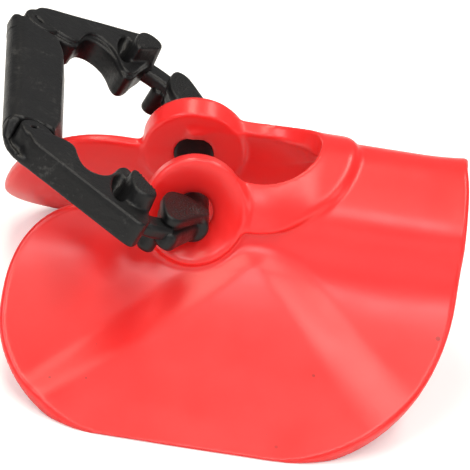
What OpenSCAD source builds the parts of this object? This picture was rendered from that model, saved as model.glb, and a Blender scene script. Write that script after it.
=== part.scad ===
// Poultry blinder: a soft red saddle with two side lobes, held on a beak by a black clip.
// The clip is one strip of rigid segments joined by thin living hinges.
// Origin: the middle of the nostril axis. +X runs back along the bridge, +Y to the left lobe, +Z up.

/* [Saddle] */
// Height of the bridge's crown above the nostril axis
crown_h = 7.2; // [6:0.1:9]
// Radius of the arched bridge
arch_r = 9.6; // [8.5:0.1:11]
// Wall of the moulded sheet
sheet_t = 1.5; // [1:0.1:2]
// Distance from the nostril axis to the front of the lobes
lobe_front = 21.2; // [18:0.1:24]
// Distance from the nostril axis to the back of the saddle
saddle_back = 32.8; // [28:0.1:36]
// Length of the sheet from crown to hem, measured along its curve
hem_s = 42.4; // [38:0.1:44]

/* [Beak notch] */
// Half width of the beak notch
notch_r = 7.7; // [6.5:0.1:8.2]
// Distance from the nostril axis to the centre of the notch's round end
notch_x = 6.7; // [5:0.1:8]
// Height of the raised collar above the sheet
collar_rise = 1.4; // [0.8:0.1:2]

/* [Nostril rings] */
// Outer radius of a ring
ring_r = 6.2; // [5.5:0.1:7]
// Thickness of a ring
ring_t = 3; // [2.4:0.1:3.4]
// Radius of the nostril hole
hole_r = 2.35; // [2.1:0.05:2.6]
// Radius of the countersink at the outer face
sink_r = 5.3; // [4.5:0.1:5.6]
// Distance from the middle to a ring's inner face
ring_y = 7.6; // [7:0.1:8.2]
// Lean of the rings from vertical
ring_lean = 16; // [12:1:20]

/* [Clip] */
// Thickness of the clip's segments
clip_t = 3.4; // [3.2:0.1:3.8]
// Distance from the nostril axis to the outer side of the bar
bar_out = 26.1; // [24.5:0.1:27]
// Width of the bar
bar_w = 6.6; // [6:0.1:7.4]
// Tilt of the clip about the nostril axis at rest
clip_tilt = 19.4; // [10:0.1:30]
// Sideways play that the resting clip has taken up
clip_shift = 1.8; // [0:0.1:2]
// Skew of the clip in its own plane at rest
clip_skew = 2; // [0:0.5:3]
// Turn of the bar against the arms, which shifts one arm out and the other in
clip_sway = 1.9; // [0:0.1:2.5]
// Height of the clip's middle plane above the nostril axis
clip_lift = 0.75; // [0:0.05:0.9]
// Radius of a nostril tip at its end, from which it thickens
tip_r = 1.65; // [1.2:0.05:1.9]

/* [Hidden] */
$fn = 64;
eps = 0.01;
far = 60;
RED = [0.98, 0.28, 0.24];
BLACK = [0.17, 0.17, 0.18];

// The sheet's outer surface in cross-section, from the crown down one side, as arcs: [radius, turn]. A
// positive turn bends it down and a negative one flares it outwards.
arcs = [[arch_r, 77], [16.5, -24], [36, -16], [80, -10]];
arc_step = 3;

// Points along one arc from p, with heading a below horizontal; each point is [y, z, heading].
function arc_points(p, a, r, turn) =
    let (n = ceil(abs(turn) / arc_step), side = sign(turn))
    [for (i = [1:n]) let (b = a + turn * i / n)
        [p[0] + side * r * (sin(b) - sin(a)), p[1] + side * r * (cos(b) - cos(a)), b]];
function path(pts, i) = i == len(arcs) ? pts :
    let (q = pts[len(pts) - 1])
    path(concat(pts, arc_points(q, q[2], arcs[i][0], arcs[i][1])), i + 1);
half_path = path([[0, crown_h, 0]], 0);

// Length along the path up to each point, and the height at a given length.
function step_len(i) = norm([half_path[i][0] - half_path[i - 1][0], half_path[i][1] - half_path[i - 1][1]]);
path_s = [for (i = 0, s = 0; i < len(half_path); i = i + 1, s = i < len(half_path) ? s + step_len(i) : s) s];
path_z = [for (i = [0:len(half_path) - 1]) [path_s[i], half_path[i][1]]];
function z_at(s) = lookup(s, path_z);
hem_z = z_at(hem_s);

// A quarter of a superellipse in the flattened sheet: centre c, half axes a (x) and b (s), exponent n.
function corner(c, a, b, n, from, to, steps) =
    [for (i = [0:steps]) let (t = from + (to - from) * i / steps, ca = cos(t), sa = sin(t))
        [c[0] + a * sign(ca) * pow(abs(ca), 2 / n), c[1] + b * sign(sa) * pow(abs(sa), 2 / n)]];
lobe_x = -7;
lobe_s = 27;
lobe_top_s = 12.5;
back_x = 12;
back_s = 18;
lobe_edge = concat(
    corner([lobe_x, lobe_s], lobe_front + lobe_x, lobe_s - lobe_top_s, 2.6, 270, 180, 12),
    corner([lobe_x, lobe_s], lobe_front + lobe_x, hem_s - lobe_s, 1.85, 180, 90, 12),
    corner([back_x, back_s], saddle_back - back_x, hem_s - back_s, 1.9, 90, 0, 14));

// Chaikin corner cutting rounds a closed outline.
function cut(p) = [for (i = [0:len(p) - 1]) let (a = p[i], b = p[(i + 1) % len(p)])
    each [a * 0.75 + b * 0.25, a * 0.25 + b * 0.75]];
function smooth(p, times) = times == 0 ? p : smooth(cut(p), times - 1);

// The sheet's section between two offsets from its outer surface.
module section(inner, outer) {
    side = [for (q = half_path) [q[0] + sin(q[2]) * outer, q[1] + cos(q[2]) * outer]];
    back = [for (i = [len(half_path) - 1:-1:0]) let (q = half_path[i])
        [q[0] + sin(q[2]) * inner, q[1] + cos(q[2]) * inner]];
    for (m = [0, 1]) mirror([m, 0]) polygon(concat(side, back));
}

module sheet(inner, outer, x0, x1) {
    translate([x0, 0, 0]) rotate([90, 0, 90]) linear_extrude(x1 - x0) section(inner, outer);
}

// Side view of the saddle, extruded across it.
module side_outline() {
    outline = concat(
        [for (q = lobe_edge) [q[0], z_at(q[1])]],
        [[saddle_back, 1], [saddle_back - 0.2, 4], [saddle_back - 0.5, 6.4], [saddle_back - 0.8, 8.5], [3, 8.5],
         [3, z_at(lobe_top_s)]]);
    rotate([90, 0, 0]) linear_extrude(2 * far, center = true) polygon(outline);
}

module notch() {
    translate([0, 0, -3]) linear_extrude(far) union() {
        translate([notch_x, 0]) circle(notch_r);
        translate([-far, -notch_r]) square([far + notch_x, 2 * notch_r]);
    }
}

// Raised collar round the notch, bounded in side view by one big arc.
module collar() {
    arc_r = 14.3;
    intersection() {
        sheet(-sheet_t / 2, collar_rise, 3, saddle_back);
        translate([6.3, 0, 13.8]) rotate([90, 0, 0]) cylinder(r = arc_r, h = 2 * far, center = true);
    }
}

module ring_place() {
    for (m = [0, 1]) mirror([0, m, 0]) translate([0, ring_y, 0]) rotate([ring_lean - 90, 0, 0]) children();
}

module blinder() color(RED) {
    land = 0.8;
    difference() {
        union() {
            difference() {
                union() {
                    intersection() {
                        sheet(-sheet_t, 0, -lobe_front - 1, saddle_back + 1);
                        side_outline();
                    }
                    collar();
                }
                notch();
            }
            ring_place() cylinder(r = ring_r, h = ring_t);
        }
        ring_place() {
            translate([0, 0, -1]) cylinder(r = hole_r, h = ring_t + 2);
            translate([0, 0, land]) cylinder(r1 = hole_r, r2 = sink_r, h = ring_t - land + eps);
            translate([0, 0, ring_t]) cylinder(r = sink_r, h = 4);
        }
    }
}

// Places the clip: its own plane is tilted about the nostril axis. Inside, +X points at the tips,
// u is the distance from the nostril axis towards the bar, and w is the distance from the middle.
module clip_place() {
    translate([0, clip_shift, 0]) rotate([0, clip_tilt, 0]) rotate([0, 0, -clip_skew])
        translate([0, 0, clip_lift]) children();
}
module slab(outline, t) {
    linear_extrude(t, center = true) polygon([for (q = outline) [-q[0], q[1]]]);
}
module post(u, w, r, z0, z1) {
    translate([-u, w, z0]) cylinder(r = r, h = z1 - z0);
}

// Living hinge axes [u, w]: at the bar's outer corner, and at the neck before the tip link.
bar_hinge = [24.9, 13.5];
tip_hinge = [5.7, 20];
knuckle = [22.25, 14.9];
knuckle_r = 2.3;
seat_gap = 0.2;
web_t = 0.5;
bead_r = 0.35;
web_room = 0.8;

arm_outline = smooth([[24.3, 14.6], [24.4, 15.8], [24.1, 17.1], [23.3, 17.9], [21.6, 18.7], [19, 20],
    [14.8, 22.1], [10.6, 24.1], [8.3, 25.3], [7.2, 25.3], [6.9, 23.6], [7, 21.6], [7.1, 20.2], [7.5, 18.4],
    [8.6, 15.7], [9.3, 13], [10.4, 12], [11.3, 12.7], [12, 15.2], [13.2, 17.2], [14.8, 17.9], [16.2, 17.1],
    [16.9, 15], [17.4, 13.2], [18.6, 13], [20.2, 13.3], [21, 14]], 2);
link_outline = smooth([[5.1, 17.5], [4.9, 19.6], [4.2, 20.5], [3, 20.5], [2.2, 19.1], [0.3, 15.9], [-0.9, 14],
    [-1.1, 13], [-0.4, 12.1], [2.5, 11.6], [4.4, 12.4], [5.1, 14.2]], 2);

// The arm and link of a side move out or in with the bar's end. This is that move, along u.
function side_shift(m) = (m == 0 ? 1 : -1) * knuckle[1] * tan(clip_sway);
module on_side(m) {
    clip_place() translate([-side_shift(m), 0, 0]) mirror([0, m, 0]) children();
}

// Bar: half-round outer side and leaning inner side, with a round seat in each end for an arm's knuckle.
module bar_section() {
    lean = 2;
    polygon([[-lean, 0], [bar_w - clip_t / 2, 0], [bar_w - clip_t / 2, clip_t], [0, clip_t]]);
    translate([bar_w - clip_t / 2, clip_t / 2]) circle(clip_t / 2);
}
module clip_bar() color(BLACK) {
    end_w = 13.8;
    inner_end = [21.4, 12.6];
    difference() {
        clip_place() translate([-knuckle[0], 0, 0]) rotate([0, 0, clip_sway]) translate([knuckle[0], 0, 0])
            translate([-bar_out + bar_w, end_w, -clip_t / 2]) rotate([90, 0, 0])
                linear_extrude(2 * end_w) mirror([1, 0]) bar_section();
        for (m = [0, 1]) on_side(m) {
            post(knuckle[0], knuckle[1], knuckle_r + seat_gap, -far, far);
            // Room for the outer web, and for the arm's corner as it opens
            translate([-far - knuckle[0], bar_hinge[1] - web_room, -far]) cube([far, far, 2 * far]);
            // Room for the arm's inner side
            translate([-inner_end[0], inner_end[1], -far]) cube([far, far, 2 * far]);
        }
    }
}

module arm(m) {
    on_side(m) difference() {
        union() {
            slab(arm_outline, clip_t);
            post(knuckle[0], knuckle[1], knuckle_r, -clip_t / 2, clip_t / 2);
            latch_block();
            web_half(bar_hinge, [24.2, 16], 1);
            web_half(tip_hinge, [7.8, 20.5], 1);
        }
        // Scoop in the top face beside the latch block
        translate([-12, 0, 2.9]) rotate([90, 0, 0]) cylinder(r = 1.7, h = far, center = true);
    }
}

// Raised block at the end of an arm, behind the hook.
module latch_block() {
    rise = 2;
    block = smooth([[11, 17.3], [10.3, 15.9], [8.3, 16.2], [7.2, 18], [6.9, 20.2], [7.1, 22], [9, 22.3],
        [10.3, 21.2]], 1);
    translate([0, 0, (clip_t / 2 + rise) / 2 - 0.2]) slab(block, clip_t / 2 + rise + 0.4);
}

// One half of a web: a thin strip from near the hinge axis to a point on the segment.
module web_half(axis, anchor, gap) {
    d = anchor - axis;
    len_d = norm(d);
    height = clip_t * 0.8;
    start = gap * (bead_r + 0.05);
    translate([-axis[0], axis[1], 0]) rotate([0, 0, atan2(d[1], -d[0])])
        translate([start, -web_t / 2, -height / 2]) cube([len_d - start, web_t, height]);
}

// The other half of the web carries the bead on the hinge axis.
module hinge(axis, anchor, m) {
    height = clip_t * 0.8;
    on_side(m) {
        post(axis[0], axis[1], bead_r, -height / 2, height / 2);
        web_half(axis, anchor, 0);
    }
}

// Link: a block that turns in to a round tip through the nostril hole, with a short peg below. The
// tip lies on the nostril axis.
module link(m) {
    tip_w = 6.2;
    root_w = 14;
    root_r = 2;
    neck_u = 4.8;
    peg_drop = 1.9;
    on_side(m) {
        difference() {
            slab(link_outline, clip_t);
            translate([-neck_u - 2, 0, -far]) cube([2, far, 2 * far]);
        }
        post(3.7, 18.3, 1.1, -clip_t / 2 - peg_drop, 0);
    }
    clip_place() mirror([0, m, 0]) {
        translate([0, tip_w + tip_r, -clip_lift]) rotate([-90, 0, 0])
            cylinder(r1 = tip_r, r2 = root_r, h = root_w - tip_w - tip_r);
        translate([0, tip_w + tip_r, -clip_lift]) sphere(r = tip_r);
    }
}

module clip_arm_left() color(BLACK) arm(0);
module clip_arm_right() color(BLACK) arm(1);
module clip_link_left() color(BLACK) link(0);
module clip_link_right() color(BLACK) link(1);
module bar_hinge_left() color(BLACK) hinge(bar_hinge, [bar_hinge[0], bar_hinge[1] - web_room], 0);
module bar_hinge_right() color(BLACK) hinge(bar_hinge, [bar_hinge[0], bar_hinge[1] - web_room], 1);
module tip_hinge_left() color(BLACK) hinge(tip_hinge, [tip_hinge[0] - 0.9, tip_hinge[1]], 0);
module tip_hinge_right() color(BLACK) hinge(tip_hinge, [tip_hinge[0] - 0.9, tip_hinge[1]], 1);

blinder();
clip_bar();
clip_arm_left();
clip_arm_right();
clip_link_left();
clip_link_right();
bar_hinge_left();
bar_hinge_right();
tip_hinge_left();
tip_hinge_right();
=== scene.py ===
import math

import bpy
import numpy as np
from mathutils import Matrix, Vector


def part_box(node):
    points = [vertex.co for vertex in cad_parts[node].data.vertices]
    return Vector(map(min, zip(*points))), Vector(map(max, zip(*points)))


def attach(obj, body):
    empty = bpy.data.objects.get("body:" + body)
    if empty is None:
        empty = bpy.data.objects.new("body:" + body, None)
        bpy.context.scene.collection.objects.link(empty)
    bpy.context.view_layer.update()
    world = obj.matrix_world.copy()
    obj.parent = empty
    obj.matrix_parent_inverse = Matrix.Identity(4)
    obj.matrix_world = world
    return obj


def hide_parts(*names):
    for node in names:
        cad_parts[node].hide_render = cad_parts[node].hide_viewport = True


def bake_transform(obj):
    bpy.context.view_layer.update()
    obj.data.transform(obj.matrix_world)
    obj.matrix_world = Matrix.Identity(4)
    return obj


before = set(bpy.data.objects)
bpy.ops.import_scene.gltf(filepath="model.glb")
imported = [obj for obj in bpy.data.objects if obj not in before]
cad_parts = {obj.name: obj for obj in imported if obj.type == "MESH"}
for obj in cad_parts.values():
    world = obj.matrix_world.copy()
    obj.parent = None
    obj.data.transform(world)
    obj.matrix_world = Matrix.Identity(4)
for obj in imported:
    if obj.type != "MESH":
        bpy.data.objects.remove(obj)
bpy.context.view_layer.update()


# ---------------------------------------------------------------- saddle
# The saddle is one soft injection moulding in glossy red plastic: an arched sheet with two flared
# lobes, a raised collar round the beak notch, and a dished ring for each nostril.
# Lengths are in millimetres until a mesh is stored.
SHEET = 1.5
CROWN = 7.2
ARCS = [(9.6, 77), (16.5, -24), (36, -16), (80, -16)]
HEM = 42.4
STAND = 20.26
FRONT = 21.2
BACK = 32.8
NOTCH_S = 7.9
NOTCH_X = 6.7
NOTCH_END = 14.3
RING_R = 6.2
RING_T = 3.0
HOLE_R = 2.35
RING_Y = 7.65
RING_LEAN = math.radians(16)
RIM_W = 0.62
LEFT_RIM, RIGHT_RIM = (0.05, 1.02), (0.45, 1.06)
COLLAR_X, COLLAR_Z, COLLAR_R = 6.6, 13.85, 14.38
V_RISE = 0.85


def arc_table():
    """The sheet's outer line in section, as arcs: centre, radius, headings, length so far and side."""
    table = []
    y, z, heading, length = 0.0, CROWN, 0.0, 0.0
    for radius, turn in ARCS:
        side = 1 if turn > 0 else -1
        end = heading + math.radians(turn)
        cy, cz = y - side * radius * math.sin(heading), z - side * radius * math.cos(heading)
        table.append((cy, cz, radius, heading, end, length, side))
        y, z = cy + side * radius * math.sin(end), cz + side * radius * math.cos(end)
        heading, length = end, length + radius * abs(math.radians(turn))
    return table


arc_rows = arc_table()


def along_sheet(y, z):
    """Length down from the crown, and height over the sheet's outer face, of points beside it."""
    y = np.abs(y)
    best = np.full(y.shape, 1e9)
    length, height = np.zeros(y.shape), np.zeros(y.shape)
    for cy, cz, radius, start, end, before, side in arc_rows:
        heading = np.arctan2(side * (y - cy), side * (z - cz))
        heading = np.clip(heading, min(start, end), max(start, end))
        ny, nz = np.sin(heading), np.cos(heading)
        py, pz = cy + side * radius * ny, cz + side * radius * nz
        away = (y - py) ** 2 + (z - pz) ** 2
        near = away < best
        best = np.where(near, away, best)
        length = np.where(near, before + radius * np.abs(heading - start), length)
        height = np.where(near, (y - py) * ny + (z - pz) * nz, height)
    return length, height


def corner(cx, cs, a, b, power, first, last, steps):
    """A quarter of a superellipse, for one rounded corner of the flat pattern."""
    points = []
    for i in range(steps + 1):
        t = math.radians(first + (last - first) * i / steps)
        c, s = math.cos(t), math.sin(t)
        points.append((cx + a * math.copysign(abs(c) ** (2 / power), c),
                       cs + b * math.copysign(abs(s) ** (2 / power), s)))
    return points


pattern = (corner(-7, 27, FRONT - 7, 14.5, 2.6, 270, 180, 20)
           + corner(-7, 27, FRONT - 7, HEM - 27, 1.85, 180, 90, 20)
           + corner(12, 18, BACK - 12, HEM - 18, 1.9, 90, 0, 24)
           + [(BACK, 12), (BACK - 0.35, 4), (BACK - 0.6, 0), (BACK - 0.6, -12), (3, -12), (3, 12.5)])


def inside_outline(outline, x, y):
    """Signed distance to a closed outline, negative inside."""
    best = np.full(x.shape, 1e9)
    flip = np.ones(x.shape)
    for (ax, ay), (bx, by) in zip(outline, outline[1:] + outline[:1]):
        ex, ey = bx - ax, by - ay
        size = ex * ex + ey * ey
        if size < 1e-12:
            continue
        wx, wy = x - ax, y - ay
        t = np.clip((wx * ex + wy * ey) / size, 0, 1)
        best = np.minimum(best, (wx - ex * t) ** 2 + (wy - ey * t) ** 2)
        above, below = y >= ay, y < by
        left = ex * wy > ey * wx
        flip = np.where((above & below & left) | (~above & ~below & ~left), -flip, flip)
    return flip * np.sqrt(best)


def rounded(a, b, r):
    """The overlap of two fields, with its edge rounded to radius r."""
    a, b = a + r, b + r
    return np.minimum(np.maximum(a, b), 0) + np.hypot(np.maximum(a, 0), np.maximum(b, 0)) - r


def slab(outline_field, height, low, high, r):
    """A flat outline between two heights, with rounded edges."""
    return rounded(outline_field, np.abs(height - (low + high) / 2) - (high - low) / 2, r)


def join(a, b, k):
    """Union with a fillet of about k."""
    h = np.clip(0.5 + 0.5 * (b - a) / k, 0, 1)
    return b + (a - b) * h - k * h * (1 - h)


def cut(a, tool, k):
    """a less the tool, with the new edge eased by about k."""
    return -join(-a, tool, k)


def fade(value, low, high):
    """0 below low, 1 above high, and smooth between them."""
    t = np.clip((value - low) / (high - low), 0, 1)
    return t * t * (3 - 2 * t)


def raised_v(x, length):
    """Height of the wide V that stiffens each lobe, with its point under the collar."""
    left = (x - 7.5 + 1.08 * (length - 15.2)) * 0.68
    right = (7.5 + 0.97 * (length - 13) - x) * 0.72 / (1 + 0.05 * np.maximum(length - 24, 0))
    between = fade(left, -2.6, 2.6) * fade(right, -3.2, 3.2)
    return V_RISE * between * fade(length, 13, 18) * fade(length, 44, 37)


def rim_cut(x, length):
    """What is taken off the sheet's inner face at the notch, so that its rim is thin."""
    ahead, behind = 1.25 * fade(x, 14, 8), 0.6 * fade(x, 12.5, 14.5) * fade(x, 19, 15.5)
    return (ahead - behind) * fade(length, 18, 7.5) * fade(x, -1, 3)


def sheet(x, z, length, height):
    """The arched sheet with its two lobes, level along the hems that it stands on."""
    waves = np.sin(x * 0.30 + 1.2) * np.cos(length * 0.16 - 0.5) + np.sin(x * 0.21 - length * 0.33)
    flare = 0.4 * (np.maximum(x - 26.5, 0) / 6) ** 2 * fade(length, 16, 10)
    swell = 0.05 * waves * fade(length, 13, 22) + flare
    wall = slab(inside_outline(pattern, x, length), height - swell, -SHEET, raised_v(x, length), 0.55)
    wall = rounded(wall, -SHEET + np.maximum(rim_cut(x, length), 0) - height, 0.3)
    return rounded(wall, -STAND - z, 0.35)


def collar(x, z, length, height):
    """The raised band round the notch, bounded in side view by one big arc. It sinks towards its end."""
    arc = np.hypot(x - COLLAR_X, z - COLLAR_Z) - COLLAR_R
    band = slab(arc, height, -SHEET + rim_cut(x, length), 3, 0.3)
    band = rounded(band, height - 1.5 + 0.8 * fade(x, 7.5, 15), 0.7 + 1.1 * fade(x, 9, 15))
    return rounded(band, -x - 1.0, 0.5)


def saddle(x, y, z):
    """Sheet and collar less the beak notch, with a dished and drilled disc over each nostril."""
    length, height = along_sheet(y, z)
    body = join(sheet(x, z, length, height), collar(x, z, length, height), 0.45)
    end_x = np.maximum(x - NOTCH_X, 0) * (NOTCH_S / (NOTCH_END - NOTCH_X))
    notch = np.hypot(end_x, length) - NOTCH_S
    body = cut(body, np.maximum(notch, -2.6 - z), 0.42)
    out = (np.abs(y) - RING_Y) * math.cos(RING_LEAN) + z * math.sin(RING_LEAN)
    up = z * math.cos(RING_LEAN) - (np.abs(y) - RING_Y) * math.sin(RING_LEAN)
    right_side = y < 0
    tall = np.where(right_side, (up - RIGHT_RIM[0]) / RIGHT_RIM[1], (up - LEFT_RIM[0]) / LEFT_RIM[1])
    rim = np.hypot(x, tall) - RING_R
    body = join(body, slab(rim, out, np.where(right_side, 0, -0.1), RING_T + 0.15, 0.42), 0.9)
    depth = np.clip((out - 0.6) / 2.55, 0, 1) ** 1.6
    dish = ((1 - depth) * (np.hypot(x, up) - HOLE_R) + depth * (rim + RIM_W)) * 0.8
    return cut(body, np.maximum(dish, -2 - out), 0.2)


def mould(shape, low, high, cell):
    """Points and quads of the surface where the field shape(x, y, z) is zero, for a grid of that cell."""
    block = 6
    count = [int(math.ceil((h - l) / cell / block)) for l, h in zip(low, high)]
    axes = [l + cell * np.arange(n * block + 1) for l, n in zip(low, count)]
    middle = [l + cell * block * (np.arange(n) + 0.5) for l, n in zip(low, count)]
    centre = np.meshgrid(*middle, indexing="ij")
    coarse = shape(*[c.ravel() for c in centre]).reshape(centre[0].shape)
    near = np.abs(coarse) < cell * block * 1.3
    index = [np.minimum(np.arange(n * block + 1) // block, n - 1) for n in count]
    field = coarse[np.ix_(*index)].copy()
    mask = np.zeros(field.shape, bool)
    for i, j, k in np.argwhere(near):
        mask[tuple(slice(n * block, (n + 1) * block + 1) for n in (i, j, k))] = True
    where = np.argwhere(mask)
    values = np.empty(len(where))
    for first in range(0, len(where), 300000):
        part = where[first:first + 300000]
        values[first:first + 300000] = shape(axes[0][part[:, 0]], axes[1][part[:, 1]], axes[2][part[:, 2]])
    field[mask] = values
    inside = field < 0
    cells = np.zeros([n - 1 for n in field.shape], int)
    corners = [(a, b, c) for a in (0, 1) for b in (0, 1) for c in (0, 1)]
    size = cells.shape

    def shifted(array, a, b, c):
        return array[a:a + size[0], b:b + size[1], c:c + size[2]]

    for a, b, c in corners:
        cells += shifted(inside, a, b, c)
    active = (cells > 0) & (cells < 8)
    ids = np.full(size, -1)
    found = np.argwhere(active)
    ids[active] = np.arange(len(found))
    total, weight = np.zeros((len(found), 3)), np.zeros(len(found))
    for axis in range(3):
        for a, b in ((0, 0), (0, 1), (1, 0), (1, 1)):
            start = [a, b]
            start.insert(axis, 0)
            stop = list(start)
            stop[axis] = 1
            f0 = field[found[:, 0] + start[0], found[:, 1] + start[1], found[:, 2] + start[2]]
            f1 = field[found[:, 0] + stop[0], found[:, 1] + stop[1], found[:, 2] + stop[2]]
            cross = (f0 < 0) != (f1 < 0)
            t = np.where(cross, f0 / np.where(cross, f0 - f1, 1), 0)
            spot = np.array(start, float)[None, :].repeat(len(found), 0)
            spot[:, axis] = t
            total += spot * cross[:, None]
            weight += cross
    points = (found + total / weight[:, None]) * cell + np.array(low)
    quads = []
    for axis in range(3):
        others = [o for o in range(3) if o != axis]
        first = inside[tuple(slice(0, -1) if o == axis else slice(1, -1) for o in range(3))]
        second = inside[tuple(slice(1, None) if o == axis else slice(1, -1) for o in range(3))]
        edge = np.argwhere(first != second)
        leaving = first[first != second]
        edge[:, others[0]] += 1
        edge[:, others[1]] += 1
        ring = []
        for p, q in ((0, 0), (1, 0), (1, 1), (0, 1)):
            at = edge.copy()
            at[:, others[0]] -= p
            at[:, others[1]] -= q
            ring.append(ids[at[:, 0], at[:, 1], at[:, 2]])
        quad = np.stack(ring, 1)
        turn = leaving if axis != 1 else ~leaving
        quad[~turn] = quad[~turn][:, ::-1]
        quads.append(quad)
    return points, np.concatenate(quads)


def settle(points, quads, shape, cell, rounds):
    """Evens out the net and lays its points exactly on the surface."""
    edges = np.concatenate([quads[:, [i, (i + 1) % 4]] for i in range(4)])
    edges = np.concatenate([edges, edges[:, ::-1]])
    degree = np.bincount(edges[:, 0], minlength=len(points))
    for turn in range(rounds + 1):
        if turn:
            total = [np.bincount(edges[:, 0], points[edges[:, 1], k], len(points)) for k in range(3)]
            points = points * 0.4 + 0.6 * np.stack(total, 1) / degree[:, None]
        for _ in range(2):
            x, y, z = points.T
            e = 0.01
            value = shape(x, y, z)
            ahead = [shape(x + e, y, z), shape(x, y + e, z), shape(x, y, z + e)]
            slope = np.stack([near - value for near in ahead], 1) / e
            size = np.maximum((slope ** 2).sum(1), 0.2)
            points = points - slope * np.clip(value / size, -cell / 2, cell / 2)[:, None]
    return points


def moulded(name, shape, low, high, cell, place=Matrix(), rounds=2):
    """A smooth closed piece from a field given in millimetres, put in its place."""
    points, quads = mould(shape, low, high, cell)
    points = settle(points, quads, shape, cell, rounds)
    mesh = bpy.data.meshes.new(name)
    mesh.from_pydata([tuple(p) for p in points / 1000], [], [tuple(q) for q in quads.tolist()])
    mesh.transform(place)
    mesh.polygons.foreach_set("use_smooth", [True] * len(mesh.polygons))
    obj = bpy.data.objects.new(name, mesh)
    bpy.context.scene.collection.objects.link(obj)
    return obj


class Value:
    """A node's output socket that can be used in plain sums."""
    tree = None

    def __init__(self, socket):
        self.socket = socket

    def maths(self, operation, other=None, swap=False):
        node = Value.tree.nodes.new("ShaderNodeMath")
        node.operation = operation
        pair = [self, other][::-1] if swap else [self, other]
        for slot, value in enumerate(pair):
            if isinstance(value, Value):
                Value.tree.links.new(value.socket, node.inputs[slot])
            elif value is not None:
                node.inputs[slot].default_value = value
        return Value(node.outputs[0])

    def __add__(self, other): return self.maths("ADD", other)
    def __radd__(self, other): return self.maths("ADD", other, True)
    def __sub__(self, other): return self.maths("SUBTRACT", other)
    def __rsub__(self, other): return self.maths("SUBTRACT", other, True)
    def __mul__(self, other): return self.maths("MULTIPLY", other)
    def __rmul__(self, other): return self.maths("MULTIPLY", other, True)

    @staticmethod
    def node(kind, settings, out=0, **sockets):
        """Any other node: its type, its settings, and the values or links of its sockets."""
        node = Value.tree.nodes.new(kind if "Node" in kind else "ShaderNode" + kind)
        for key, setting in settings.items():
            if key == "stops":
                ramp = node.color_ramp
                while len(ramp.elements) < len(setting):
                    ramp.elements.new(0.5)
                for element, (position, colour) in zip(ramp.elements, setting):
                    element.position = position
                    element.color = colour
            else:
                setattr(node, key, setting)
        for key, value in sockets.items():
            by_number = key[0] == "i" and key[1:].isdigit()
            slot = node.inputs[int(key[1:]) if by_number else key.replace("_", " ")]
            if isinstance(value, Value):
                Value.tree.links.new(value.socket, slot)
            else:
                slot.default_value = value
        return Value(node.outputs[out])


def material(name, fixed):
    """A new material, and its shader with the values that are the same all over."""
    made = bpy.data.materials.new(name)
    made.use_nodes = True
    Value.tree = made.node_tree
    shader = made.node_tree.nodes["Principled BSDF"]
    for key, value in fixed.items():
        shader.inputs[key].default_value = value
    return made, shader


def feed(shader, key, value):
    """Links what varies over the surface into one of the shader's sockets."""
    Value.tree.links.new(value.socket, shader.inputs[key])


SADDLE_CELL = 0.36
saddle_piece = moulded("saddle", saddle, (-23, -32, -22.5), (35, 32, 10), SADDLE_CELL)
saddle_red, shader = material("saddle_red", {
    "Coat Weight": 0.2, "Coat Roughness": 0.22,
    "Subsurface Weight": 0.45, "Subsurface Radius": (1.0, 0.18, 0.12), "Subsurface Scale": 0.005})
place = Value.node("TexCoord", {}, 3)
cloud = Value.node("TexNoise", {}, 0, Vector=place, Scale=70.0, Detail=3.0, Roughness=0.6)
tone = Value.node("Mix", {"data_type": "RGBA"}, 2, i0=cloud, i6=(0.91, 0.015, 0.018, 1),
                  i7=(0.95, 0.032, 0.028, 1))
grit = Value.node("TexVoronoi", {}, 0, Vector=place, Scale=420.0, Randomness=1.0)
sparse = Value.node("TexNoise", {}, 0, Vector=place, Scale=190.0, Detail=1.0)
speck = Value.node("ValToRGB", {"stops": [(0.0, (1, 1, 1, 1)), (0.075, (0, 0, 0, 1))]}, 0,
                   i0=grit + (0.60 - sparse) * 1.2)
on_lobes = Value.node("SeparateXYZ", {}, 2, Vector=place).maths("LESS_THAN", -0.003)
feed(shader, "Base Color", Value.node("Mix", {"data_type": "RGBA"}, 2, i0=speck * on_lobes * 0.6, i6=tone,
                                      i7=(0.16, 0.012, 0.01, 1)))
haze = Value.node("TexNoise", {}, 0, Vector=place, Scale=160.0, Detail=4.0)
feed(shader, "Roughness", haze * 0.2 + 0.225)
drawn = Value.node("Mapping", {}, 0, Vector=place, Scale=(1.0, 0.25, 1.0))
scuff = Value.node("TexNoise", {}, 0, Vector=drawn, Scale=2200.0, Detail=2.0)
feed(shader, "Normal", Value.node("Bump", {}, 0, Height=haze + scuff * 0.12, Strength=0.05, Distance=0.001))
saddle_piece.data.materials.append(saddle_red)
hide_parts("blinder")
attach(saddle_piece, "blinder")


# ---------------------------------------------------------------- clip bar
# The clip is moulded in one strip of black nylon-like plastic and folded at its thin webs.
# Its bar is half round outside and leans back inside, and ends in seats for the arms' knuckles.
CLIP_T = 3.4
CLIP_TILT = math.radians(19.4)
CLIP_SKEW = math.radians(-2)
CLIP_SHIFT = 1.8
CLIP_LIFT = 0.75
KNUCKLE = (22.25, 14.9)
KNUCKLE_R = 2.3
SEAT_R = 2.36
BAR_OUT = 26.1
BAR_TURN = math.radians(1.9)
SWAY = KNUCKLE[1] * math.tan(BAR_TURN)
clip_place = (Matrix.Translation((0, CLIP_SHIFT / 1000, 0)) @ Matrix.Rotation(CLIP_TILT, 4, "Y")
              @ Matrix.Rotation(CLIP_SKEW, 4, "Z") @ Matrix.Translation((0, 0, CLIP_LIFT / 1000)))


def clip_spot(side, u, w, h=0.0):
    """A point on one side of the clip, in the part's frame and in metres.

    u is its distance from the nostril axis, w its distance from the middle and h its height."""
    return tuple(clip_place @ Vector((-(u + side * SWAY) / 1000, side * w / 1000, h / 1000)))


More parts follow.
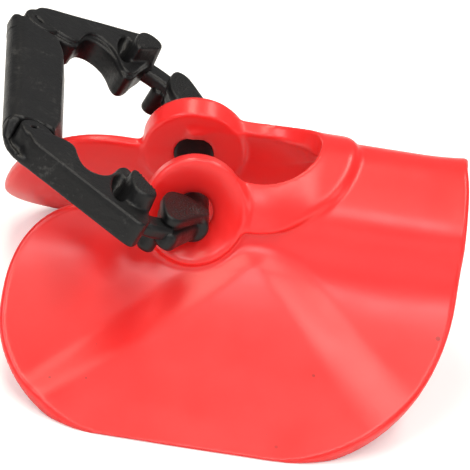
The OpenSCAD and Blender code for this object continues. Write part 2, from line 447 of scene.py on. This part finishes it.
def eased(points, times):
    """Corner cutting: rounds a closed outline."""
    for _ in range(times):
        points = [q for a, b in zip(points, points[1:] + points[:1])
                  for q in ((a[0] * 0.75 + b[0] * 0.25, a[1] * 0.75 + b[1] * 0.25),
                            (a[0] * 0.25 + b[0] * 0.75, a[1] * 0.25 + b[1] * 0.75))]
    return points


def disc(u, w, centre, r):
    """Signed distance to a circle."""
    return np.hypot(u - centre[0], w - centre[1]) - r


def round_back(u, h):
    """The bar's outer face: half round at the back and flat above and below."""
    half = CLIP_T / 2
    return np.where(u > BAR_OUT - half, np.hypot(u - BAR_OUT + half, h) - half, np.abs(h) - half)


def bar_shape(x, y, z):
    """The bar stands a little askew in the clip. Its inner face leans, and its ends are hollowed."""
    side = np.sign(y)
    across = -x - KNUCKLE[0]
    turned = KNUCKLE[0] + across * math.cos(BAR_TURN) - y * math.sin(BAR_TURN)
    u, w, h = -x - side * SWAY, np.abs(y), z
    inner = (17.35 + (h + CLIP_T / 2) * 0.60 + 0.8 * fade(w, 8.5, 13) - turned) * 0.86
    body = rounded(round_back(turned, h), inner, 0.3)
    body = rounded(body, w - 13.6, 0.35)
    body = rounded(body, np.minimum(w - 12.5, 21.4 - u), 0.4)
    return cut(body, disc(u, w, KNUCKLE, SEAT_R), 0.15)


clip_black, shader = material("clip_black", {"Specular IOR Level": 0.33})
place = Value.node("TexCoord", {}, 3)
grain = Value.node("TexNoise", {}, 0, Vector=place, Scale=1800.0, Detail=4.0, Roughness=0.65)
patch = Value.node("TexNoise", {}, 0, Vector=place, Scale=260.0, Detail=2.0)
# Lighter grey specks where grain and patch noise peak: partly worn spots, partly painted glints.
wear_and_glints = Value.node("ValToRGB", {"stops": [(0.60, (0, 0, 0, 1)), (0.72, (1, 1, 1, 1))]}, 0,
                  i0=grain * 0.55 + patch * 0.5)
tone = Value.node("Mix", {"data_type": "RGBA"}, 2, i0=grain, i6=(0.004, 0.004, 0.0045, 1),
                  i7=(0.009, 0.009, 0.0095, 1))
# The light grey mixed in here is the worn-speck colour, which also serves as a painted glint.
feed(shader, "Base Color", Value.node("Mix", {"data_type": "RGBA"}, 2, i0=wear_and_glints * 0.5, i6=tone,
                                      i7=(0.07, 0.068, 0.066, 1)))
feed(shader, "Roughness", patch * 0.3 + 0.22)
feed(shader, "Normal", Value.node("Bump", {}, 0, Height=grain + patch * 0.8, Strength=0.22,
                                  Distance=0.0003))


def clip_piece(name, shape, low, high, cell, body, node):
    """A moulded piece of the clip that stands for a node. A web has no body and is left unattached."""
    piece = moulded(name, shape, low, high, cell, clip_place)
    piece.data.materials.append(clip_black)
    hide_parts(node)
    if body:
        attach(piece, body)
    return piece


CELL = 0.22
clip_piece("clip_bar_moulded", bar_shape, (-27.5, -14.5, -2.2), (-16, 14.5, 2.2), CELL, "bar", "clip_bar")


# ---------------------------------------------------------------- clip arms
# Each arm is a flat curved link of the same plastic, with a tooth, a recess and a hook on its inner
# side and a raised latch block near its end. Its round knuckle turns in the bar's seat, and the root
# of the corner's thin skin is moulded with it.
arm_pattern = eased([(24.1, 14.6), (23.8, 15.8), (23.3, 17.0), (22.8, 18.1), (21.5, 19.0), (19, 20.1),
                     (14.8, 22.2), (10.6, 24.2), (8.4, 25.3), (7.4, 25.3), (6.7, 23.6), (6.8, 21.6),
                     (7.1, 20.2), (7.5, 18.4), (8.6, 15.7), (9.3, 13.1), (10.3, 11.8), (11.2, 12.4),
                     (12, 15.2), (13.2, 16.8), (14.8, 17.4), (16.2, 16.8), (16.9, 15), (17.3, 13.1),
                     (18.6, 12.8), (20.4, 13.1), (21, 13.8)], 2)
block_pattern = eased([(10.85, 17.0), (10.3, 16.1), (9.7, 16.2), (8.3, 17.7), (7.0, 18.9), (6.8, 20.2),
                       (7.3, 21.2), (8.6, 21.9), (10.0, 21.5), (10.8, 19.6)], 1)
web_pattern = eased([(25.2, 14.4), (25.1, 15.6), (24.7, 16.8), (24.0, 17.9), (22.9, 18.5), (21.8, 18.2),
                     (21.6, 17.0), (23.0, 15.0)], 2)


def egg(across, sizes):
    """Field of an egg, from the three distances to its middle and its three half sizes."""
    return np.sqrt(sum((a / size) ** 2 for a, size in zip(across, sizes))) - 1


def arm_shape(side):
    """A plate with a step along its inner side, a knuckle, a cove beside the block, and a fine nick."""
    def shape(x, y, z):
        u, w, h = -x - side * SWAY, side * y, z
        half = CLIP_T / 2
        flat = inside_outline(arm_pattern, u, w)
        ledge = 0.75 + 0.35 * np.exp(-((u - 14.8) / 2) ** 2)
        step = np.maximum(flat, np.where(u < 21.5, inside_outline(arm_pattern, u, w - ledge), -9))
        plate = join(slab(flat, h, -half, half - 0.45, 0.22), slab(step, h, -half, half, 0.2), 0.12)
        knuckle = slab(disc(u, w, KNUCKLE, KNUCKLE_R), h, -half, half - 0.06, 0.28)
        body = join(plate, knuckle, 0.15)
        cove = egg((u - 11.0, w - 18.6, h - 1.9), (1.15, 3.5, 1.9)) * 1.1
        body = cut(body, cove, 0.2)
        block = slab(inside_outline(block_pattern, u, w) + 0.12 * (h - 1.7), h, 0, 3.7, 0.25)
        body = join(body, block, 0.25)
        along, across = (u - 22.8) * 0.7 + (w - 14.45) * 0.7, (w - 14.45) * 0.7 - (u - 22.8) * 0.7
        nick = egg((along, across, h - 1.65), (0.7, 0.24, 0.8)) * 0.24
        body = cut(body, nick, 0.08)
        web = slab(inside_outline(web_pattern, u, w), h, -half, -0.9 if side < 0 else -1.3, 0.3)
        return join(body, rounded(web, round_back(u, h), 0.1), 0.6)
    return shape


for side, word in ((1, "left"), (-1, "right")):
    low_y, high_y = sorted((side * 11.2, side * 26))
    clip_piece("clip_arm_moulded_" + word, arm_shape(side), (-25.6, low_y, -2.2), (-5.5, high_y, 4.2), CELL,
               "arm_" + word, "clip_arm_" + word)


# ---------------------------------------------------------------- tip links
# A link is a chunky block of the same plastic with stepped sides, a round foot and a short peg.
# It turns in to the round tip that fills a nostril hole, and nothing else holds the clip.
link_top = eased([(5.3, 17.0), (4.9, 19.1), (4.2, 19.8), (3.0, 19.6), (2.2, 18.7), (0.3, 15.6),
                  (-0.8, 13.9), (-1.0, 13.0), (-0.3, 12.1), (2.3, 11.6), (4.4, 12.4), (5.3, 14.4)], 2)
link_foot = eased([(4.7, 17.5), (4.4, 20.0), (3.4, 20.9), (2.2, 20.6), (1.6, 19.0), (0.0, 15.8),
                   (-0.9, 13.9), (0.5, 12.4), (4.6, 13.4)], 2)
LEFT_LINK_SHIFT = (0.55, 0.35)
LEFT_TIP_R = 2.2
RIGHT_TIP_R = 2.0
TIP_FLARE = 0.32


def link_shape(side):
    """Top, waist and foot of the block, then the tip along the clip's axis and the peg under it."""
    def shape(x, y, z):
        u, w, h = -x - side * SWAY, side * y, z
        half = CLIP_T / 2
        block_u, block_w = (u + LEFT_LINK_SHIFT[0], w - LEFT_LINK_SHIFT[1]) if side > 0 else (u, w)
        top_outline = inside_outline(link_top, block_u, block_w)
        top = slab(top_outline + 0.12 * np.maximum(h - 1.2, 0), h, 0.45, half, 0.25)
        waist = slab(top_outline + 0.35, h, -0.6, 0.9, 0.15)
        foot_outline = inside_outline(link_foot, block_u, block_w)
        foot = slab(foot_outline + 0.25 * np.maximum(h + 0.8, 0), h, -2.1, 0.1, 0.35)
        body = join(join(top, waist, 0.12), foot, 0.2)
        across = x * math.cos(CLIP_SKEW) - y * math.sin(CLIP_SKEW) + (0 if side > 0 else 0.15)
        away = np.hypot(across, h + CLIP_LIFT)
        girth = LEFT_TIP_R + TIP_FLARE * fade(w, 7.4, 6.8) if side > 0 else RIGHT_TIP_R
        tip = rounded(away - girth, np.abs(w - 10.0) - 4.4, 0.6)
        peg = rounded(disc(u, w, (4.7, 18.2), 1.15), np.abs(h + 2.4) - 1.8, 0.6)
        return join(join(body, tip, 0.4), peg, 0.25)
    return shape


for side, word in ((1, "left"), (-1, "right")):
    low_y, high_y = sorted((side * 5.3, side * 21.6))
    clip_piece("clip_link_moulded_" + word, link_shape(side), (-6.8, low_y, -4.7), (2.9, high_y, 2.2), CELL,
               "link_" + word, "clip_link_" + word)


# ---------------------------------------------------------------- living hinges
# At each of the bar's outer corners a thin skin of the same plastic is moulded with bar and arm.
# It wraps round the knuckle.
def ribbon(u, w, points, thick):
    """Field of a strip of that thickness along a bent line."""
    best = np.full(u.shape, 1e9)
    for (au, aw), (bu, bw) in zip(points, points[1:]):
        eu, ew = bu - au, bw - aw
        t = np.clip(((u - au) * eu + (w - aw) * ew) / (eu * eu + ew * ew), 0, 1)
        best = np.minimum(best, np.hypot(u - au - eu * t, w - aw - ew * t))
    return best - thick / 2


skin_line = [(25.3, 11.2), (25.3, 13.0), (25.25, 14.4), (24.95, 15.7), (24.5, 16.8), (23.7, 17.8)]
SKIN_CELL = 0.18


def skin_shape(side):
    """A strip that thins out and loses height towards the arm, and ends just inside the bar's face."""
    def shape(x, y, z):
        u, w, h = -x - side * SWAY, side * y, z
        thick = 1.5 - 0.8 * fade(w, 13.6, 15.6)
        top = 1.35 - 2.1 * fade(w, 13.7, 15.4)
        strip = rounded(ribbon(u, w, skin_line, thick), np.maximum(-1.6 - h, (h - top) * 0.55), 0.25)
        return rounded(strip, round_back(u, h) + 0.07 * fade(w, 13.3, 12.6), 0.1)
    return shape


for side, word in ((1, "left"), (-1, "right")):
    low_y, high_y = sorted((side * 10.2, side * 18.4))
    skin = clip_piece("bar_skin_" + word, skin_shape(side), (-26.8, low_y, -2), (-22.2, high_y, 2),
                      SKIN_CELL, None, "bar_hinge_" + word)
    clip_spot(side, 25.6, 12.6)
    clip_spot(side, 24.9, 16.6)
    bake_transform(skin)


# ---------------------------------------------------------------- necks
# A narrow neck joins each arm to its link. It is a rounded strip of the same plastic, moulded with both
# along a bent line.
def new_tree(name, inputs):
    """An empty node tree with named inputs, and the node that gives them."""
    tree = bpy.data.node_groups.new(name, "GeometryNodeTree")
    tree.interface.new_socket("Geometry", in_out="OUTPUT", socket_type="NodeSocketGeometry")
    for key, kind in inputs:
        tree.interface.new_socket(key, in_out="INPUT", socket_type="NodeSocket" + kind)
    Value.tree = tree
    sockets = tree.nodes.new("NodeGroupInput").outputs
    return tree, {key: Value(socket) for (key, _), socket in zip(inputs, sockets)}


def end_tree(tree, shape, finish):
    """Every tree ends in Realize Instances and Set Material."""
    real = Value.node("GeometryNodeRealizeInstances", {}, 0, Geometry=shape)
    dressed = Value.node("GeometryNodeSetMaterial", {}, 0, Geometry=real, Material=finish)
    tree.links.new(dressed.socket, tree.nodes.new("NodeGroupOutput").inputs[0])


def grown(name, points, edges, faces, tree, settings):
    """The plain mesh that a node tree makes of a line or face drawn on the clip's middle plane."""
    source = bpy.data.meshes.new(name)
    source.from_pydata(points, edges, faces)
    obj = bpy.data.objects.new(name, source)
    bpy.context.scene.collection.objects.link(obj)
    modifier = obj.modifiers.new("grow", "NODES")
    modifier.node_group = tree
    for item in tree.interface.items_tree:
        if item.in_out == "INPUT" and item.name in settings:
            modifier[item.identifier] = settings[item.name]
    graph = bpy.context.evaluated_depsgraph_get()
    mesh = bpy.data.meshes.new_from_object(obj.evaluated_get(graph))
    obj.modifiers.remove(modifier)
    obj.data = mesh
    mesh.transform(clip_place)
    mesh.polygons.foreach_set("use_smooth", [True] * len(mesh.polygons))
    return obj


neck_tree, given = new_tree("neck", [("Geometry", "Geometry"), ("Width", "Float"), ("Height", "Float"),
                                     ("Edge", "Float"), ("Step", "Float"), ("Finish", "Material")])
line = Value.node("GeometryNodeMeshToCurve", {}, 0, Mesh=given["Geometry"])
line = Value.node("GeometryNodeCurveSplineType", {"spline_type": "CATMULL_ROM"}, 0, Curve=line)
line = Value.node("GeometryNodeResampleCurve", {"mode": "LENGTH"}, 0, Curve=line, Length=given["Step"])
line = Value.node("GeometryNodeSetCurveNormal", {"mode": "Z_UP"}, 0, Curve=line)
section = Value.node("GeometryNodeCurvePrimitiveQuadrilateral", {}, 0, Width=given["Width"],
                     Height=given["Height"])
section = Value.node("GeometryNodeFilletCurve", {"mode": "POLY"}, 0, Curve=section, Radius=given["Edge"],
                     Count=6)
end_tree(neck_tree, Value.node("GeometryNodeCurveToMesh", {}, 0, Curve=line, Profile_Curve=section,
                               Fill_Caps=True), given["Finish"])

NECK_DROP = 0.00042
for side, word, width, bends in (
        (1, "left", 0.0032, [(8.4, 20.2), (6.8, 19.9), (5.4, 19.5), (3.4, 18.6)]),
        (-1, "right", 0.0029, [(8.4, 20.6), (6.8, 20.4), (5.7, 20.1), (3.8, 18.9)])):
    path = [(-(u + side * SWAY) / 1000, side * w / 1000, -NECK_DROP) for u, w in bends]
    neck = grown("tip_neck_" + word, path, [(i, i + 1) for i in range(len(bends) - 1)], [], neck_tree,
                 {"Width": width, "Height": 0.0018, "Edge": 0.0006, "Step": 0.00025, "Finish": clip_black})
    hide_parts("tip_hinge_" + word)
    clip_spot(side, 6.6, 20.3)
    clip_spot(side, 4.9, 19.7)
    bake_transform(neck)


# ---------------------------------------------------------------- grain
# The flat tops of the latch blocks and the links keep a pebbled grain from the mould, for grip.
# It is part of the same plastic: low round beads, close together.
grain_tree, given = new_tree("pebbles", [("Geometry", "Geometry"), ("Spacing", "Float"),
                                         ("Radius", "Float"), ("Seed", "Int"), ("Finish", "Material")])
spots = Value.node("GeometryNodeDistributePointsOnFaces", {"distribute_method": "POISSON"}, 0,
                   Mesh=given["Geometry"], Distance_Min=given["Spacing"], Density_Max=3e7,
                   Seed=given["Seed"])
bead = Value.node("GeometryNodeMeshIcoSphere", {}, 0, Radius=given["Radius"], Subdivisions=2)
bead = Value.node("GeometryNodeTransform", {}, 0, Geometry=bead, Scale=(1, 1, 0.42))
size = Value.node("FunctionNodeRandomValue", {"data_type": "FLOAT"}, 1, i2=0.65, i3=1.25,
                  Seed=given["Seed"])
end_tree(grain_tree, Value.node("GeometryNodeInstanceOnPoints", {}, 0, Points=spots, Instance=bead,
                                Scale=size), given["Finish"])


def inset(outline, amount):
    """The outline drawn in towards its middle."""
    u0, w0 = (sum(p[k] for p in outline) / len(outline) for k in (0, 1))
    return [(u + (u0 - u) * amount, w + (w0 - w) * amount) for u, w in outline]


BARE_RIM = 0.24
for side, word in ((1, "left"), (-1, "right")):
    for part, outline, top, seed in (("arm", block_pattern, 3.68, 4), ("link", link_top, 1.69, 9)):
        shift = LEFT_LINK_SHIFT if part == "link" and side > 0 else (0, 0)
        rim = [(-(u - shift[0] + side * SWAY) / 1000, side * (w + shift[1]) / 1000, top / 1000)
               for u, w in inset(outline, BARE_RIM)]
        rim = rim if side < 0 else rim[::-1]
        beads = grown("pebbles_" + part + "_" + word, rim, [], [tuple(range(len(rim)))], grain_tree,
                      {"Spacing": 0.00036, "Radius": 0.00015, "Seed": seed + side, "Finish": clip_black})
        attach(beads, part + "_" + word)


# ---------------------------------------------------------------- studio
# The blinder stands with its hems on a pale sheet under soft lamps, in an even white room. Floor and
# room look whiter to the camera than the light they throw on the part.
floor_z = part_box("blinder")[0][2]
floor = bpy.data.objects.new("floor", bpy.data.meshes.new("floor"))
reach = 1.5
floor.data.from_pydata([(-reach, -reach, floor_z), (reach, -reach, floor_z), (reach, reach, floor_z),
                        (-reach, reach, floor_z)], [], [(0, 1, 2, 3)])
bpy.context.scene.collection.objects.link(floor)
floor_pale, shader = material("floor_pale", {"Base Color": (0.9, 0.9, 0.9, 1), "Roughness": 0.6,
                                             "Emission Strength": 1.0})
seen = Value.node("LightPath", {}, "Is Camera Ray")
feed(shader, "Emission Color", Value.node("Mix", {"data_type": "RGBA"}, 2, i0=seen, i6=(0, 0, 0, 1),
                                          i7=(0.35, 0.35, 0.35, 1)))
floor.data.materials.append(floor_pale)


def lamp(name, spot, target, size, watts, tint=(1, 1, 1)):
    """A rectangular lamp at a spot, turned to its target."""
    data = bpy.data.lights.new(name, "AREA")
    data.shape = "RECTANGLE"
    data.size, data.size_y = size
    data.energy = watts
    data.color = tint
    obj = bpy.data.objects.new(name, data)
    obj.location = spot
    obj.rotation_mode = "QUATERNION"
    obj.rotation_quaternion = (Vector(target) - Vector(spot)).to_track_quat("-Z", "Y")
    bpy.context.scene.collection.objects.link(obj)


lamp("key", (0.05, -0.56, 0.50), (0, 0, 0), (0.16, 0.14), 0.68)
lamp("front_left", (-0.29, -0.45, 0.36), (0, 0, 0), (0.13, 0.13), 0.42)
lamp("side", (-0.43, -0.19, 0.46), (0, 0, 0), (0.20, 0.20), 0.75)
lamp("left_strip", (-0.12, 0.0, 0.50), (-0.02, 0, 0), (0.84, 0.09), 1.85, (1, 0.93, 0.80))
lamp("right_strip", (0.185, 0.0, 0.48), (0.02, 0, 0), (0.84, 0.09), 1.6, (1, 0.97, 0.90))
lamp("fill", (0.45, -0.30, 0.25), (0, 0, 0), (0.20, 0.25), 0.35)
lamp("low_front", (0.0, -0.62, 0.12), (0, 0, 0), (0.5, 0.2), 0.34)

world = bpy.data.worlds.new("studio")
bpy.context.scene.world = world
world.use_nodes = True
Value.tree = world.node_tree
back = world.node_tree.nodes["Background"]
back.inputs["Color"].default_value = (1, 1, 1, 1)
seen = Value.node("LightPath", {}, "Is Camera Ray")
feed(back, "Strength", Value.node("Mix", {}, 0, i0=seen, i2=0.2, i3=1.0))

right, up, towards = (0.985, 0, 0.173), (-0.1536, 0.46, 0.8746), (-0.0796, -0.888, 0.453)
aim = Vector((0.00592, -0.00295, -0.00475))
DISTANCE = 1.2
SEEN_WIDTH = 0.05642
camera = bpy.data.objects.new("camera", bpy.data.cameras.new("camera"))
bpy.context.scene.collection.objects.link(camera)
camera.data.sensor_width = 36
camera.data.clip_end = 20
camera.data.lens = camera.data.sensor_width * DISTANCE / SEEN_WIDTH
camera.matrix_world = (Matrix.Translation(aim + Vector(towards) * DISTANCE)
                       @ Matrix((right, up, towards)).transposed().to_4x4())
bpy.context.scene.camera = camera
bpy.context.scene.view_settings.view_transform = "Standard"
